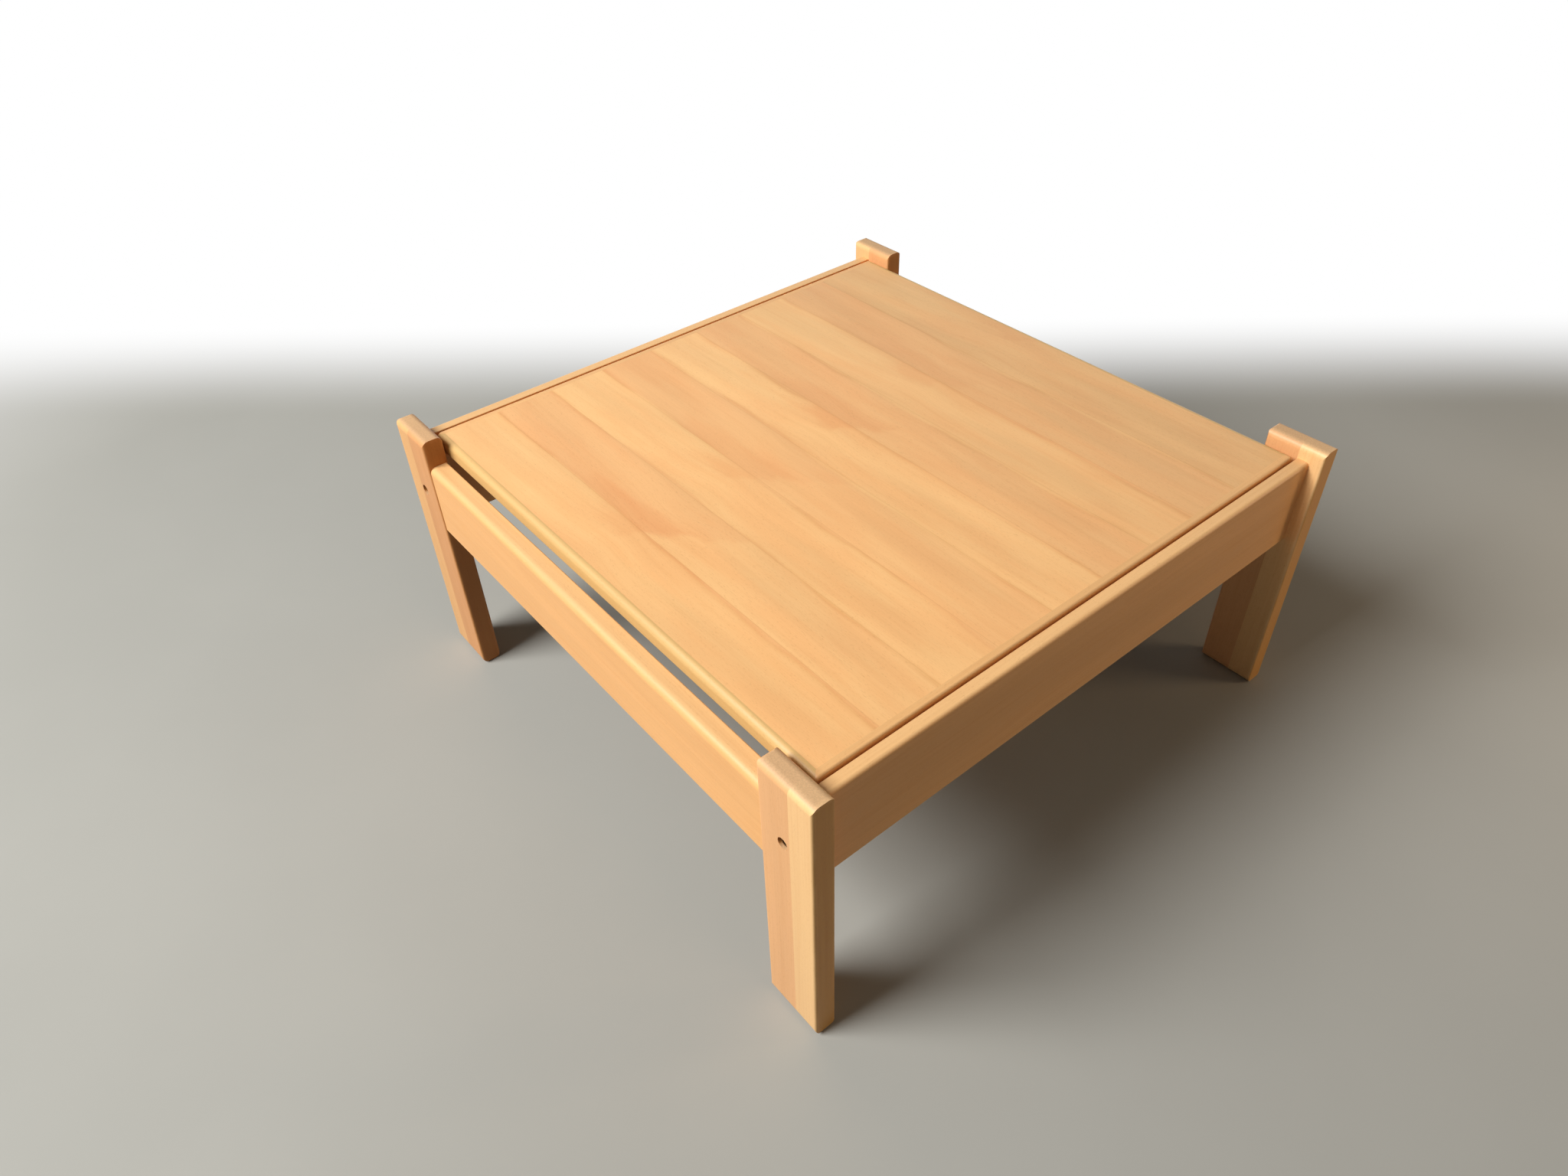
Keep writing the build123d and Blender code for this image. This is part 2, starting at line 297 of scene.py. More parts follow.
class Nodes:
    """A tree of nodes, filled through one method that makes any node."""

    def __init__(self, tree):
        self.tree = tree

    def node(self, kind, settings=None, inputs=None):
        """Any node: its settings first, then its sockets, each with a value or a link."""
        node = self.tree.nodes.new(kind)
        for name, setting in (settings or {}).items():
            setattr(node, name, setting)
        self.fill(node, inputs or {})
        return node

    def fill(self, node, inputs):
        """Sets or links the sockets of a node."""
        for name, content in inputs.items():
            if isinstance(content, Value):
                self.tree.links.new(content.socket, node.inputs[name])
            else:
                node.inputs[name].default_value = content

    def value(self, kind, settings=None, inputs=None, output=0):
        """One output of any node."""
        return Value(self, self.node(kind, settings, inputs).outputs[output])

    def outputs(self, kind, names, inputs=None):
        """Several outputs of one node."""
        node = self.node(kind, inputs=inputs)
        return [Value(self, node.outputs[name]) for name in names]

    def mixed(self, factor, first, second, blend="MIX"):
        """A colour between two, or the first blended with the second in another way."""
        settings = {"data_type": "RGBA", "blend_type": blend}
        inputs = {
            MIX_FACTOR: factor, MIX_FIRST: self.opaque(first), MIX_SECOND: self.opaque(second)
        }
        return self.value("ShaderNodeMix", settings, inputs, output=MIX_COLOUR)

    def multiplied(self, factor, first, second):
        """A colour multiplied by another, as far as the factor says."""
        return self.mixed(factor, first, second, blend="MULTIPLY")

    @staticmethod
    def opaque(colour):
        """A colour as a socket takes it, with its alpha."""
        return colour if isinstance(colour, Value) else (*colour, 1.0)

    def seen_directly(self):
        """1 for what the camera sees, also in a reflection or through glass, 0 for other light."""
        rays = ("Is Camera Ray", "Is Glossy Ray", "Is Transmission Ray")
        camera, glossy, through = self.outputs("ShaderNodeLightPath", rays)
        return camera.most(glossy).most(through)


class Finish(Nodes):
    """A material being made: one Principled surface and the nodes that vary it."""

    def __init__(self, name):
        self.material = bpy.data.materials.new(name)
        self.material.use_nodes = True
        super().__init__(self.material.node_tree)
        self.surface = self.tree.nodes["Principled BSDF"]

    def shaded(self, inputs):
        """Sets or links the sockets of the surface, and gives back the material."""
        self.fill(self.surface, inputs)
        return self.material

    def place(self):
        """The object coordinates, as one vector."""
        return self.value("ShaderNodeTexCoord", output="Object")

    def apart(self, vector):
        """The three parts of a vector, keyed X, Y and Z."""
        return dict(zip("XYZ", self.outputs("ShaderNodeSeparateXYZ", "XYZ", {0: vector})))

    def axes(self):
        """The object coordinates, keyed X, Y and Z."""
        return self.apart(self.place())

    def facing(self):
        """The direction that the surface faces, keyed X, Y and Z."""
        return self.apart(self.value("ShaderNodeTexCoord", output="Normal"))

    def space(self, *parts):
        """A vector from three values."""
        return self.value("ShaderNodeCombineXYZ", inputs=dict(enumerate(parts)))

    def noise(self, space, cells, seed, detail=2.0, roughness=0.5):
        """Smooth noise from 0 to 1, with that many cells in a metre along each of three axes."""
        shift = tuple(seed * step for step in SEED_SHIFT)
        stretched = self.value(
            "ShaderNodeVectorMath", {"operation": "MULTIPLY_ADD"}, {0: space, 1: cells, 2: shift}
        )
        inputs = {"Vector": stretched, "Scale": 1.0, "Detail": detail, "Roughness": roughness}
        return self.value("ShaderNodeTexNoise", inputs=inputs)

    def bumped(self, height, strength, distance):
        """The surface normal raised by a height from 0 to 1."""
        inputs = {"Height": height, "Strength": strength, "Distance": distance}
        return self.value("ShaderNodeBump", inputs=inputs)


def shade(colour, strength):
    """A colour made darker or lighter, as a plain number times each channel."""
    return tuple(min(channel * strength, 1.0) for channel in colour)


def tinted(colour, tint):
    """A colour multiplied by another, channel by channel."""
    return tuple(channel * share for channel, share in zip(colour, tint))


def between(first, second, share):
    """A colour that share of the way from the first to the second."""
    return tuple(a + (b - a) * share for a, b in zip(first, second))


# ---------------------------------------------------------------- wood

# Tints: what each multiplies the colour of the wood by.
LATE_WOOD = (0.85, 0.73, 0.62)
DEEP_WOOD = (0.80, 0.70, 0.60)
DULL_WOOD = (0.91, 0.91, 0.91)
PALE_WOOD = (1.07, 1.10, 1.14)
WARM_WOOD = (0.98, 0.90, 0.86)
RED_WOOD = (0.93, 0.79, 0.73)
CLEAR_WOOD = (1.03, 1.08, 1.09)
FLECK = (0.62, 0.48, 0.36)
END_GRAIN = (0.64, 0.69, 0.79)
# Painted shade: a deeper, browner tint for the legs' narrow sides.
SHADED_LEG_SIDE = (0.73, 0.59, 0.33)
# Painted light: a paler, cooler tint for the rails' tops and bottoms.
LIT_RAIL_TOP = (0.93, 1.05, 1.20)
SATIN = {"Specular IOR Level": 0.32, "Coat Weight": 0.08, "Coat Roughness": 0.3}

# Solid wood: how many cells its noises have in a metre, along the grain, across and through.
SWAY_CELLS = (2.2, 5.0, 5.0)
RING_CELLS = (6, 60, 60)
TONE_CELLS = (1.8, 20, 20)
BAND_CELLS = (5, 170, 170)
FIBRE_CELLS = (9, 620, 620)
FLECK_CELLS = (240, 2200, 2200)
PATCH_CELLS = (30, 90, 90)

# Solid wood: how far the grain sways across, how fast the pith leans away along the piece, and by
# how many rings the rings wander.
GRAIN_SWAY = 0.016
PITH_LEAN = 0.02
RING_WANDER = 0.8

# Where a band or a fleck starts to show in its noise, and where it is full.
BAND_SHOWS = (0.45, 0.8)
FLECK_SHOWS = (0.64, 0.72)
VENEER_FLECK_SHOWS = (0.64, 0.73)

# How squarely a surface faces along the grain, or across the piece's width, where it starts to
# look like end grain or to take the painted light or shade of a narrow side, and where it does
# so wholly.
END_GRAIN_SHOWS = (0.6, 0.97)
NARROW_SIDE_SHOWS = (0.5, 0.95)

# Wear on an arris, by the second least distance to the piece's faces as a share of the radius: it
# is full up to the first share, and there is none from the second on.
RUBBED_TO = 0.3
CLEAN_FROM = 1.1

# The radii that the wear on the arrises goes by.
LEG_ARRIS = 0.005
RAIL_ARRIS = 0.006
LIPPING_ARRIS = 0.0025

# Where the pith lies, across the width and through the thickness. For a leg and a rail it is
# counted from the middle of the piece, and for an inner stave the first number is turned round.
# For a lipping the first number is counted from the middle of the table and the second from the
# top of the board.
LEG_PITH = (0.12, 0.05)
RAIL_PITH = (0.03, 0.07)
LIPPING_PITH = (0.5, 0.06)

# How rough oiled wood, lacquered veneer, bare veneer and the core are.
OILED = 0.44
LACQUERED = 0.40
BARE = 0.66
PRESSED = 0.82

# The core: how many chips a metre holds, and how many times thinner than wide they are.
CHIPS_IN_A_METRE = 260.0
CHIP_FLATNESS = 3.0

# Face veneer: how many cells its noises have in a metre, along the grain, across and through.
VENEER_RAGGED_CELLS = (22, 45, 1)
VENEER_BORDER_CELLS = (7, 1, 1)
VENEER_TONE_CELLS = (3.0, 24, 5)
VENEER_WARMTH_CELLS = (6.0, 34, 5)
VENEER_BAND_CELLS = (7, 150, 5)
VENEER_FIBRE_CELLS = (9, 640, 5)
VENEER_FLECK_CELLS = (220, 2100, 5)
VENEER_FAINT_CELLS = (8, 3, 5)
VENEER_RUBBED_CELLS = (9, 9, 9)

# Face veneer: the width of the band about each seam in which the border between two leaves
# wanders, how far the borders shift forwards between two places along the grain, and how far
# beyond the board's own edges its two outermost borders are put.
BORDER_WANDER = 0.022
BORDER_DROP = 0.0035
DROP_SPAN = (-0.05, 0.02)
OUT_OF_SIGHT = 0.05

# Face veneer: where the kink crosses a matched seam, and how far its edge and the outlines beside
# it are ragged.
KINK_X = -0.014
KINK_RAGGED = 0.06
OUTLINE_RAGGED = 0.02

# Face veneer: the bulge of the grain beside the kink, and the slant of all the grain.
BULGE_X, BULGE_WIDTH, BULGE_HEIGHT = -0.03, 0.045, 0.007
GRAIN_SLANT = 0.014

# The red wedge to the left of the kink: its width across the grain at the kink, how fast that
# width shrinks, and how far it reaches along the grain. It fades over these distances at its side
# and at the kink.
Wedge = namedtuple("Wedge", "width taper reach")
LIGHT_WEDGE = Wedge(width=0.029, taper=0.2, reach=0.08)
DARK_WEDGE = Wedge(width=0.036, taper=0.06, reach=0.2)
WEDGE_SIDE_FADE = (-0.005, 0.009)
WEDGE_END_FADE = (-0.006, 0.008)

# How clear the wood is: in a light leaf well to the left of the kink, and in a dark leaf to the
# right of it, by the leaf's number, with one share for those that aren't named. It changes over
# these distances past the kink.
LIGHT_CLEAR = 0.5
LIGHT_CLEAR_FADE = (-0.10, -0.05)
DARK_CLEAR = {1: 1.0, 3: 0.6}
DARK_CLEAR_ELSE = 0.2
DARK_CLEAR_FADE = (0.0, 0.014)


def arris_mask(finish, axes, box, radius):
    """1 on the arrises of a box and 0 on its faces.

    The distances to the nearest faces across X, Y and Z are sorted, and the second least is small
    only near an arris: it grows from about a third of the radius to the whole radius over the
    rounding.
    """
    low, high = box
    x, y, z = [
        (axes[axis] - low[i]).least(high[i] - axes[axis]) for i, axis in enumerate("XYZ")
    ]
    second = x.least(y).most(x.most(y).least(z))
    return 1 - second.rise(radius * RUBBED_TO, radius * CLEAN_FROM)


def fibred(finish, body, fibre, strength):
    """A colour with fine fibres: paler where the fibre noise is high, darker where it is low."""
    streaks = (fibre - 0.5) * strength
    body = finish.multiplied(streaks.most(0.0), body, PALE_WOOD)
    return finish.multiplied((-streaks).most(0.0), body, LATE_WOOD)


def solid_wood(name, order, colours, box, radius, seed, pith, painted_side_light=WHITE):
    """Oiled solid wood with growth rings, bands, fibres, flecks, end grain and rubbed arrises.

    The colours are those of the wood and of its end grain. The last colour is painted light or
    shade, a tint for the faces across the piece's width: painted shade on the legs' narrow sides
    and painted light on the rails' tops and bottoms.

    A ring number is the distance from the pith, which runs along the grain outside the piece,
    divided by the ring spacing, with slow noise added. Through each ring the wood darkens as the
    cube of the share of the ring that is passed. Bands, fibres, flecks and slow changes of tone
    are noises drawn out along the grain.
    """
    wood = bpy.context.scene.table_wood
    colour, end_colour = colours
    finish = Finish(name)
    axes = finish.axes()
    along, across, through = (axes[axis] for axis in order)
    plain = finish.space(along, across, through)
    sway = (finish.noise(plain, SWAY_CELLS, seed) - 0.5) * GRAIN_SWAY
    space = finish.space(along, across + sway, through)

    pith_across, pith_through = pith
    sideways = across + sway - pith_across
    inwards = through - pith_through + along * PITH_LEAN
    distance = (sideways * sideways + inwards * inwards) ** 0.5
    wander = finish.noise(space, RING_CELLS, seed + 3) * RING_WANDER
    ring = distance / wood.ring_spacing + wander
    late = ring.math("FRACT", ring) ** 3.0

    tone = finish.noise(space, TONE_CELLS, seed + 7, detail=3.0)
    band = finish.noise(space, BAND_CELLS, seed + 9)
    fibre = finish.noise(space, FIBRE_CELLS, seed + 11, detail=4.0, roughness=0.6)
    fleck = finish.noise(space, FLECK_CELLS, seed + 13, detail=1.0).rise(*FLECK_SHOWS)
    patchy = finish.noise(plain, PATCH_CELLS, seed + 17, detail=3.0)
    facing = finish.facing()
    end_grain = abs(facing[order[0]]).rise(*END_GRAIN_SHOWS)
    lit_or_shaded_side = abs(facing[order[1]]).rise(*NARROW_SIDE_SHOWS)
    arris = arris_mask(finish, axes, box, radius) * patchy.rise(0.25, 0.75)

    body = finish.mixed(tone.rise(0.3, 0.75), shade(colour, 0.92), shade(colour, 1.03))
    late_colour = tinted(colour, LATE_WOOD)
    body = finish.mixed(late * wood.ring_strength, body, late_colour)
    body = finish.mixed(band.rise(*BAND_SHOWS) * wood.band_strength, body, late_colour)
    body = fibred(finish, body, fibre, wood.fibre_strength)
    body = finish.mixed(fleck * wood.fleck_strength, body, tinted(colour, FLECK))
    # Painted light or shade: the faces across the piece's width take the side tint.
    body = finish.multiplied(lit_or_shaded_side, body, painted_side_light)
    end = finish.mixed(fibre.rise(0.3, 0.7), shade(end_colour, 0.9), shade(end_colour, 1.1))
    body = finish.mixed(end_grain * 0.9, body, end)
    body = finish.mixed(arris * wood.wear_strength, body, tinted(colour, PALE_WOOD))

    roughness = OILED + (patchy - 0.5) * 0.10 + end_grain * 0.16 + arris * 0.05 - fleck * 0.04
    height = fibre * 0.45 + late * 0.25 - fleck * 0.5 + end_grain * fibre
    normal = finish.bumped(height, 0.22, 0.0003)
    return finish.shaded({"Base Color": body, "Roughness": roughness, "Normal": normal, **SATIN})


def seam_border(finish, along, drop, seam, number):
    """Where light and dark wood meet about a seam, or a place beyond the board at its two edges.

    The border wanders by a slow noise that the leaves on both its sides share.
    """
    if number == 0:
        return seam - OUT_OF_SIGHT
    if number == len(LEAVES):
        return seam + OUT_OF_SIGHT
    line = finish.space(along, 0.0, 0.0)
    wander = finish.noise(line, VENEER_BORDER_CELLS, 3.1 * number, detail=4.0)
    return (wander - 0.5) * BORDER_WANDER - drop + seam


def kink_wedge(past_kink, from_match, ragged, wedge):
    """1 in the wedge to the left of the kink, which narrows with the distance from it."""
    width = past_kink * wedge.taper + wedge.width + ragged * OUTLINE_RAGGED
    within = (width - from_match).rise(*WEDGE_SIDE_FADE)
    begun = past_kink.rise(-wedge.reach, -0.5 * wedge.reach)
    return within * begun * (1 - past_kink.rise(*WEDGE_END_FADE))


def leaf_veneer(name, number, colour, neighbour, box):
    """Face veneer in book-matched leaves, whose figure runs a little over each seam.

    The leaves are numbered from 0 at the front. The even ones are light, and the odd ones lie face
    down and look darker. Each border between light and dark wood wanders about its seam, and a
    thin dark line runs along it, a bell curve across the leaf. The figure is mirrored about every
    other seam, the matched one of the two beside a leaf. The kink, where a branch began, is an
    edge that crosses each leaf at 45 degrees.
    """
    wood = bpy.context.scene.table_wood
    finish = Finish(name)
    plain = finish.place()
    axes = finish.apart(plain)
    along, across = axes["X"], axes["Y"]
    low, high = box
    light = number % 2 == 0
    ragged = finish.noise(plain, VENEER_RAGGED_CELLS, 40.0, detail=4.0) - 0.5
    drop = (along + ragged * OUTLINE_RAGGED).rise(*DROP_SPAN) * BORDER_DROP
    front_border = seam_border(finish, along, drop, low.y, number)
    back_border = seam_border(finish, along, drop, high.y, number + 1)
    inside = (across - front_border).least(back_border - across)

    from_match = high.y - across if light else across - low.y
    past_kink = along - KINK_X + (from_match if light else -from_match) + ragged * KINK_RAGGED
    wedge = kink_wedge(past_kink, from_match, ragged, LIGHT_WEDGE if light else DARK_WEDGE)
    red = wedge * wood.leaf_wedges[number] * wood.wedge_strength
    if light:
        clear = (1 - past_kink.rise(*LIGHT_CLEAR_FADE)) * LIGHT_CLEAR
    else:
        clear = past_kink.rise(*DARK_CLEAR_FADE) * DARK_CLEAR.get(number, DARK_CLEAR_ELSE)

    bulge = (along - BULGE_X).hump(BULGE_WIDTH) * BULGE_HEIGHT
    space = finish.space(along, from_match + bulge + along * GRAIN_SLANT, axes["Z"])
    seed = float(number)
    tone = finish.noise(space, VENEER_TONE_CELLS, 4.0, detail=3.0)
    warmth = finish.noise(space, VENEER_WARMTH_CELLS, 60.0 + seed, detail=4.0, roughness=0.55)
    band = finish.noise(space, VENEER_BAND_CELLS, 9.0 + seed, detail=3.0)
    fibre = finish.noise(space, VENEER_FIBRE_CELLS, 12.0 + seed, detail=4.0, roughness=0.6)
    fleck = finish.noise(space, VENEER_FLECK_CELLS, 15.0 + seed, detail=1.0)
    fleck = fleck.rise(*VENEER_FLECK_SHOWS)
    faint = finish.noise(space, VENEER_FAINT_CELLS, 70.0 + seed).rise(0.40, 0.62) * 0.85 + 0.15
    seam = 1 - (across - low.y).least(high.y - across).rise(0.0002, 0.0009)

    body = finish.mixed(inside.rise(-0.0012, 0.0012), neighbour, colour)
    body = finish.multiplied(1 - tone.rise(0.3, 0.72), body, DULL_WOOD)
    body = finish.multiplied(warmth.rise(0.38, 0.66) * wood.warmth_strength, body, WARM_WOOD)
    body = finish.multiplied(red, body, RED_WOOD)
    body = finish.multiplied(clear, body, CLEAR_WOOD)
    body = finish.multiplied(band.rise(*BAND_SHOWS) * wood.band_strength * 0.6, body, LATE_WOOD)
    body = fibred(finish, body, fibre, wood.fibre_strength)
    body = finish.multiplied(inside.hump(0.0030) * faint * wood.line_strength, body, LATE_WOOD)
    body = finish.multiplied(fleck * wood.fleck_strength, body, FLECK)
    body = finish.multiplied(seam * 0.16, body, FLECK)

    rubbed = finish.noise(plain, VENEER_RUBBED_CELLS, 31.0, detail=4.0)
    roughness = LACQUERED + (rubbed - 0.5) * 0.14 + seam * 0.1 - fleck * 0.03
    normal = finish.bumped(fibre * 0.4 - fleck * 0.5 - seam * 0.5, 0.16, 0.0002)
    return finish.shaded({"Base Color": body, "Roughness": roughness, "Normal": normal, **SATIN})


def backing_veneer(name, colour, seed):
    """Plain unlacquered veneer for the board's underside: straight bands and open pores."""
    finish = Finish(name)
    place = finish.place()
    band = finish.noise(place, (1.4, 60, 5), seed, detail=3.0)
    fibre = finish.noise(place, (8, 560, 5), seed + 3, detail=4.0)
    pore = finish.noise(place, (120, 1800, 5), seed + 5, detail=1.0).rise(0.64, 0.74)
    body = finish.mixed(band.rise(0.3, 0.7), shade(colour, 0.88), shade(colour, 1.06))
    body = finish.mixed(fibre.rise(0.35, 0.75) * 0.3, body, tinted(colour, LATE_WOOD))
    body = finish.mixed(pore * 0.5, body, tinted(colour, FLECK))
    return finish.shaded({
        "Base Color": body,
        "Roughness": BARE + (fibre - 0.5) * 0.12,
        "Normal": finish.bumped(fibre * 0.5 - pore, 0.3, 0.0003),
    })


def chip_core(name, colour, seed):
    """Pressed chips: each cell of a flattened cellular pattern has its own shade."""
    finish = Finish(name)
    axes = finish.axes()
    space = finish.space(axes["X"] + seed, axes["Y"], axes["Z"] * CHIP_FLATNESS)
    cells = {"Vector": space, "Scale": CHIPS_IN_A_METRE}
    cell, edge = finish.outputs("ShaderNodeTexVoronoi", ("Color", "Distance"), cells)
    tone = finish.value("ShaderNodeSeparateColor", inputs={0: cell})
    return finish.shaded({
        "Base Color": finish.mixed(tone, shade(colour, 0.72), shade(colour, 1.12)),
        "Roughness": PRESSED + (tone - 0.5) * 0.1,
        "Normal": finish.bumped(edge, 0.5, 0.0005),
    })


# ---------------------------------------------------------------- metal

def plated_metal(name, colour, base_roughness, seed):
    """Plated steel with cloudy tone, fine turning marks across Y and rubbed bright specks."""
    finish = Finish(name)
    place = finish.place()
    cloud = finish.noise(place, (180, 180, 180), seed, detail=4.0)
    turning = finish.noise(place, (90, 2600, 90), seed + 3)
    speck = finish.noise(place, (900, 900, 900), seed + 5).rise(0.62, 0.72)
    body = finish.mixed(cloud.rise(0.3, 0.7), shade(colour, 0.75), shade(colour, 1.1))
    body = finish.mixed(speck * 0.35, body, shade(colour, 1.8))
    return finish.shaded({
        "Base Color": body,
        "Metallic": 1.0,
        "Roughness": base_roughness + (cloud - 0.5) * 0.2 + (turning - 0.5) * 0.1,
        "Normal": finish.bumped(turning * 0.6 + cloud * 0.4, 0.15, 0.0001),
    })


# ---------------------------------------------------------------- dressing

def give(node_name, material):
    """Gives a node of the frame its finish."""
    slots = NODES[node_name].data.materials
    slots.clear()
    slots.append(material)


def joint_box(*node_names):
    """The box round several nodes."""
    boxes = [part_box(name) for name in node_names]
    low = Vector(np.min([box[0] for box in boxes], axis=0))
    high = Vector(np.max([box[1] for box in boxes], axis=0))
    return low, high


class TABLE_OT_finish_legs(Operator):
    """Gives each leg's outer and inner stave its own wood"""

    bl_idname = "table.finish_legs"
    bl_label = "Finish the legs"

    def execute(self, context):
        wood = context.scene.table_wood
        for number, corner in enumerate(CORNERS):
            outer, inner = f"{corner}_leg_outer_stave", f"{corner}_leg_inner_stave"
            leg = joint_box(outer, inner)
            middle = (leg[0] + leg[1]) / 2
            depth = between(WHITE, DEEP_WOOD, wood.leg_depths[number])
            end = tinted(between(wood.outer_stave, wood.inner_stave, 0.5), END_GRAIN)
            for name, colour, side in ((outer, wood.outer_stave, 1), (inner, wood.inner_stave, -1)):
                pith = (middle.x + side * LEG_PITH[0], middle.y + LEG_PITH[1])
                seed = 10.0 * number + side
                colours = tinted(colour, depth), end
                # The legs' narrow sides get painted shade through the last colour.
                give(name, solid_wood(
                    name, UPRIGHT, colours, leg, LEG_ARRIS, seed, pith, SHADED_LEG_SIDE
                ))
        return {"FINISHED"}


class TABLE_OT_finish_rails(Operator):
    """Gives the glued and the bolted rails their wood"""

    bl_idname = "table.finish_rails"
    bl_label = "Finish the rails"

    def execute(self, context):
        colour = context.scene.table_wood.rail
        colours = tuple(colour), tinted(colour, END_GRAIN)
        rails = {
            "front_glued_rail": ALONG_RAIL_X,
            "back_glued_rail": ALONG_RAIL_X,
            "right_bolted_rail": ALONG_RAIL_Y,
            "left_bolted_rail": ALONG_RAIL_Y,
        }
        for number, (name, order) in enumerate(rails.items()):
            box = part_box(name)
            middle = (box[0] + box[1]) / 2
            depth = "XYZ".index(order[2])
            pith = (middle.z + RAIL_PITH[0], middle[depth] + RAIL_PITH[1])
            seed = 50.0 + 10 * number
            # The rails' tops and bottoms get painted light through the last colour.
            give(name, solid_wood(name, order, colours, box, RAIL_ARRIS, seed, pith, LIT_RAIL_TOP))
        return {"FINISHED"}


class TABLE_OT_finish_face(Operator):
    """Gives the leaves of the board's face their book-matched veneer"""

    bl_idname = "table.finish_face"
    bl_label = "Finish the board's face"

    def execute(self, context):
        wood = context.scene.table_wood
        for number, name in enumerate(LEAVES):
            pair = (wood.light_leaf, wood.dark_leaf)
            colour, neighbour = pair if number % 2 == 0 else pair[::-1]
            strength = wood.leaf_shades[number]
            colour, neighbour = shade(colour, strength), shade(neighbour, strength)
            give(name, leaf_veneer(name, number, colour, neighbour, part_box(name)))
        return {"FINISHED"}


class TABLE_OT_finish_edges(Operator):
    """Gives the board's lippings, core and backing their finishes"""

    bl_idname = "table.finish_edges"
    bl_label = "Finish the board's edges and back"

    def execute(self, context):
        wood = context.scene.table_wood
        lippings = {side: f"board_{side}_lipping" for side in SIDES}
        board = joint_box(*lippings.values())
        for number, (side, name) in enumerate(lippings.items()):
            order = FLAT_X if side in ("front", "back") else FLAT_Y
            colour = wood.end_lipping if order == FLAT_X else wood.side_lipping
            colours = tuple(colour), tinted(colour, END_GRAIN)
            pith = (LIPPING_PITH[0], board[1].z + LIPPING_PITH[1])
            seed = 90.0 + 7 * number
            give(name, solid_wood(name, order, colours, board, LIPPING_ARRIS, seed, pith))
        core, backing = "board_core", "board_backing_veneer"
        give(core, chip_core(core, wood.chips, seed=0.3))
        give(backing, backing_veneer(backing, wood.backing, seed=5.0))
        return {"FINISHED"}


class TABLE_OT_finish_fastenings(Operator):
    """Gives the bolts, washers and barrel nuts their plating"""

    bl_idname = "table.finish_fastenings"
    bl_label = "Finish the fastenings"

    def execute(self, context):
        metal = context.scene.table_metal
        for name, colour, roughness, seed in (
            ("leg_bolts", metal.bronze, 0.38, 2.0),
            ("bolt_washers", metal.bronze, 0.42, 6.0),
            ("barrel_nuts", metal.zinc, 0.34, 9.0),
        ):
            give(name, plated_metal(name, colour, roughness, seed))
        return {"FINISHED"}


# ---------------------------------------------------------------- stage

def round_floor(radius, rings=24, spokes=96):
    """A flat round floor: rings of points whose radii grow as the square of the ring's share."""
    share = np.linspace(0, 1, rings + 1)[1:]
    turn = np.linspace(0, 2 * np.pi, spokes, endpoint=False)
    reach = radius * share[:, None] ** 2
    x, y = reach * np.cos(turn), reach * np.sin(turn)
    points = np.stack([x, y, np.zeros_like(x)], axis=-1).reshape(-1, 3)
    points = np.vstack([points, [[0.0, 0.0, 0.0]]])
    ring, spoke = np.meshgrid(np.arange(rings - 1), np.arange(spokes), indexing="ij")
    after = (spoke + 1) % spokes
    inner, outer = ring * spokes, (ring + 1) * spokes
    quads = np.stack([inner + spoke, outer + spoke, outer + after, inner + after], axis=-1)
    first, second = np.arange(spokes), (np.arange(spokes) + 1) % spokes
    fan = np.stack([np.full(spokes, len(points) - 1), first, second], axis=-1)
    mesh = bpy.data.meshes.new("floor")
    mesh.from_pydata(points.tolist(), [], quads.reshape(-1, 4).tolist() + fan.tolist())
    return mesh


def floor_finish(stage):
    """Plain matt floor that fades into the white background away from the table and behind it.

    The two fades are joined as chances are: their sum less their product.
    """
    finish = Finish("floor")
    place = finish.place()
    axes = finish.apart(place)
    distance = (axes["X"] * axes["X"] + axes["Y"] * axes["Y"]) ** 0.5
    behind = axes["X"] * stage.behind[0] + axes["Y"] * stage.behind[1]
    cloud = finish.noise(place, (2.2, 2.2, 1.0), 3.0, detail=5.0)
    body = finish.mixed(cloud.rise(0.3, 0.7), shade(stage.floor, 0.97), shade(stage.floor, 1.02))
    seen = finish.seen_directly()
    body = finish.multiplied(1 - seen, body, shade(WHITE, stage.bounce))
    finish.shaded({"Base Color": body, "Roughness": 0.8, "Specular IOR Level": 0.2})
    matt = Value(finish, finish.surface.outputs[0])
    glow = {"Color": finish.opaque(WHITE), "Strength": 1.0}
    white = finish.value("ShaderNodeEmission", inputs=glow)
    far = distance.rise(stage.white_from, stage.white_to)
    past = behind.rise(stage.behind_from, stage.behind_to)
    fade = (far + past - far * past) * seen
    blend = finish.value("ShaderNodeMixShader", inputs={0: fade, 1: matt, 2: white})
    finish.fill(finish.tree.nodes["Material Output"], {"Surface": blend})
    return finish.material


def soft_lamp(name, direction, distance, size, power, colour=WHITE):
    """A square lamp that faces the middle of the table, out of the camera's sight."""
    lamp = bpy.data.lights.new(name, "AREA")
    lamp.shape = "SQUARE"
    lamp.size = size
    lamp.energy = power
    lamp.color = colour
    holder = bpy.data.objects.new(name, lamp)
    holder.visible_camera = False
    bpy.context.scene.collection.objects.link(holder)
    towards = Vector(direction).normalized()
    middle = (CAD_BOX[0] + CAD_BOX[1]) / 2
    holder.location = middle + towards * distance
    holder.rotation_euler = (-towards).to_track_quat("-Z", "Y").to_euler()


def even_world(fill):
    """The same soft light from all round, with a plain white background behind everything."""
    world = bpy.data.worlds.new("surround")
    world.use_nodes = True
    bpy.context.scene.world = world
    nodes = Nodes(world.node_tree)
    colour = nodes.mixed(nodes.seen_directly(), fill, WHITE)
    nodes.fill(world.node_tree.nodes["Background"], {"Color": colour, "Strength": 1.0})


SENSOR_WIDTH_MM = 36.0


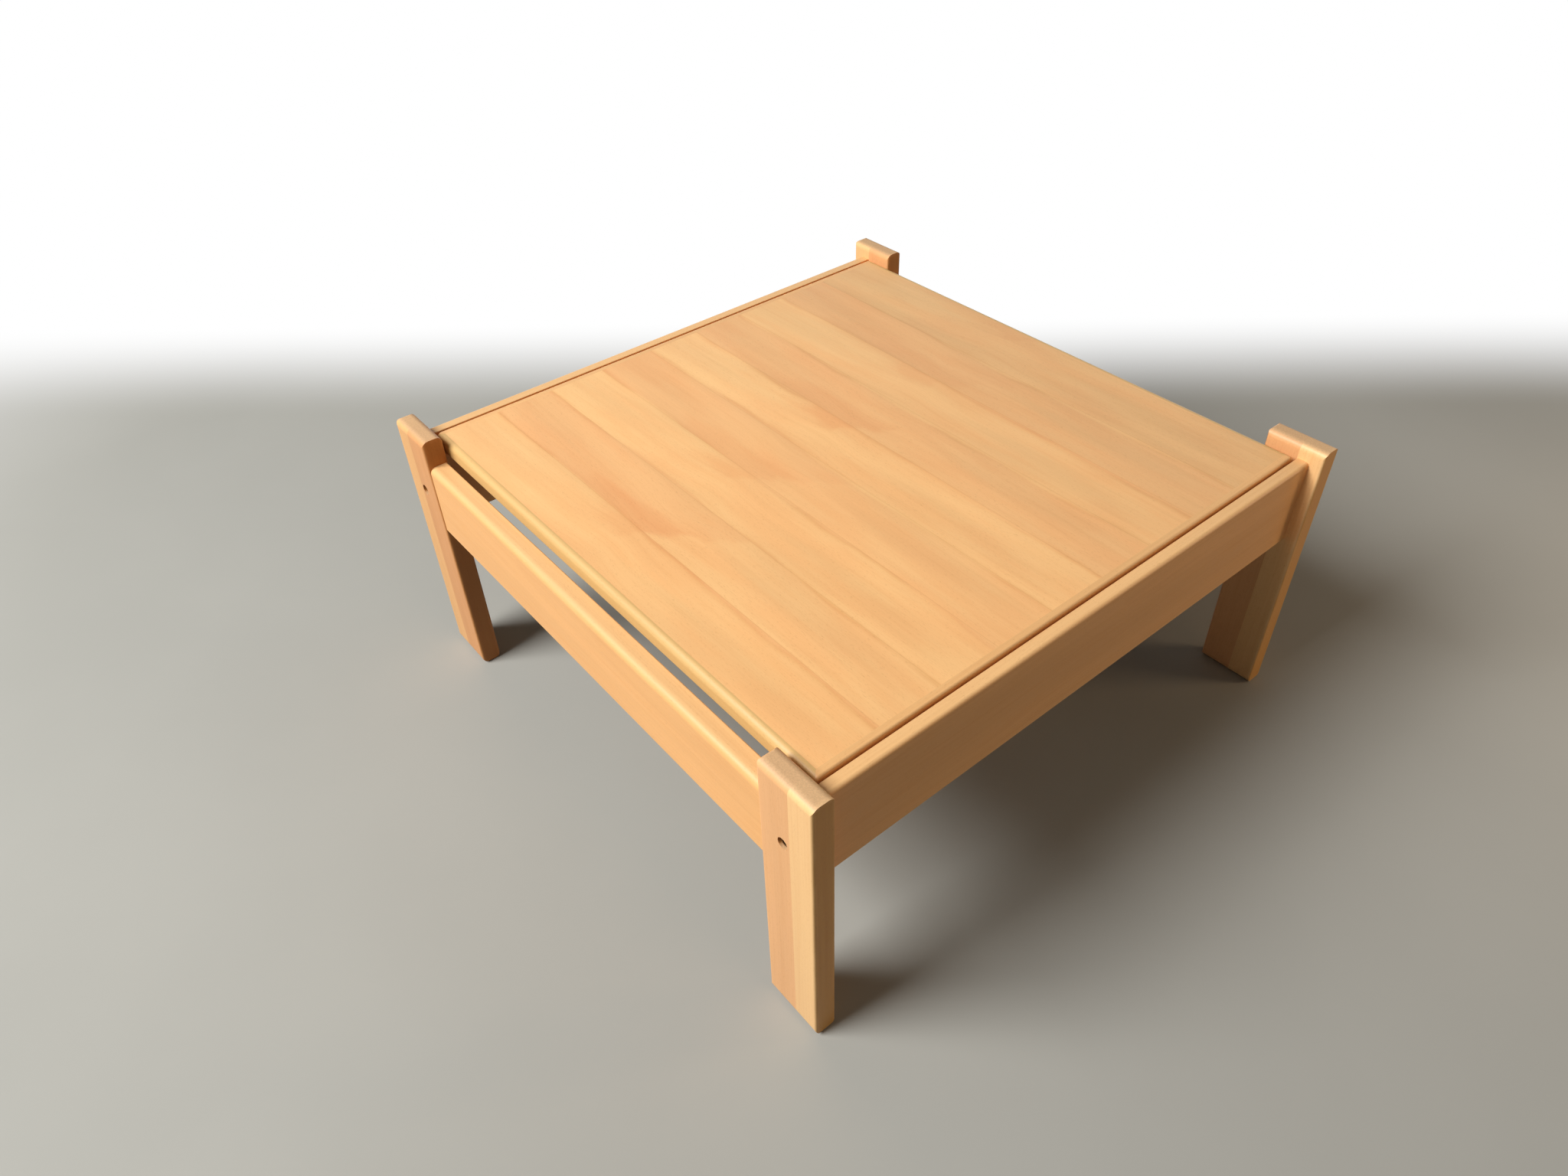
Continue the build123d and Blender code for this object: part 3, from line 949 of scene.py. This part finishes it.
def camera_at(place, aim, roll, lens):
    """The scene's camera, looking from its place at its aim and leaning by its roll."""
    camera = bpy.data.cameras.new("camera")
    camera.sensor_fit = "HORIZONTAL"
    camera.sensor_width = SENSOR_WIDTH_MM
    camera.lens = lens
    holder = bpy.data.objects.new("camera", camera)
    bpy.context.scene.collection.objects.link(holder)
    holder.location = place
    upright = (Vector(aim) - Vector(place)).to_track_quat("-Z", "Y")
    holder.rotation_euler = (upright @ Quaternion((0, 0, 1), roll)).to_euler()
    bpy.context.scene.camera = holder


class TABLE_OT_set_stage(Operator):
    """Sets the table on a plain pale floor with soft light and a camera"""

    bl_idname = "table.set_stage"
    bl_label = "Set the stage"

    def execute(self, context):
        stage = context.scene.table_stage
        floor = bpy.data.objects.new("floor", round_floor(stage.floor_radius))
        context.scene.collection.objects.link(floor)
        floor.data.materials.append(floor_finish(stage))
        even_world(stage.fill)
        soft_lamp(
            "key_lamp", stage.key_direction, stage.key_distance, stage.key_size, stage.key_power
        )
        soft_lamp(
            "side_lamp", stage.side_direction, stage.side_distance, stage.side_size,
            stage.side_power, stage.side_colour,
        )
        camera_at(stage.camera_place, stage.camera_aim, stage.camera_roll, stage.camera_lens)
        context.scene.view_settings.view_transform = "Standard"
        return {"FINISHED"}


# ---------------------------------------------------------------- panel and registration

STEPS = (
    TABLE_OT_finish_legs,
    TABLE_OT_finish_rails,
    TABLE_OT_finish_face,
    TABLE_OT_finish_edges,
    TABLE_OT_finish_fastenings,
    TABLE_OT_set_stage,
)
SETTINGS = {"table_wood": WoodSettings, "table_metal": MetalSettings, "table_stage": StageSettings}


class TABLE_PT_low_table(Panel):
    """Lists what can be done to the table, and its settings"""

    bl_idname = "TABLE_PT_low_table"
    bl_label = "Low table"
    bl_space_type = "VIEW_3D"
    bl_region_type = "UI"
    bl_category = "Low table"

    def draw(self, context):
        for step in STEPS:
            self.layout.operator(step.bl_idname)
        for group in SETTINGS:
            settings = getattr(context.scene, group)
            box = self.layout.box()
            for name in settings.__annotations__:
                box.prop(settings, name)


def register():
    """Makes the settings, operators and panel known to Blender."""
    for group in SETTINGS.values():
        bpy.utils.register_class(group)
    for name, group in SETTINGS.items():
        setattr(bpy.types.Scene, name, PointerProperty(type=group))
    for step in STEPS:
        bpy.utils.register_class(step)
    bpy.utils.register_class(TABLE_PT_low_table)


def unregister():
    """Takes away what register() made."""
    bpy.utils.unregister_class(TABLE_PT_low_table)
    for step in reversed(STEPS):
        bpy.utils.unregister_class(step)
    for name in SETTINGS:
        delattr(bpy.types.Scene, name)
    for group in reversed(list(SETTINGS.values())):
        bpy.utils.unregister_class(group)


def main():
    """Dresses the table and sets the stage."""
    register()
    bpy.ops.table.finish_legs()
    bpy.ops.table.finish_rails()
    bpy.ops.table.finish_face()
    bpy.ops.table.finish_edges()
    bpy.ops.table.finish_fastenings()
    bpy.ops.table.set_stage()


if __name__ == "__main__":
    main()
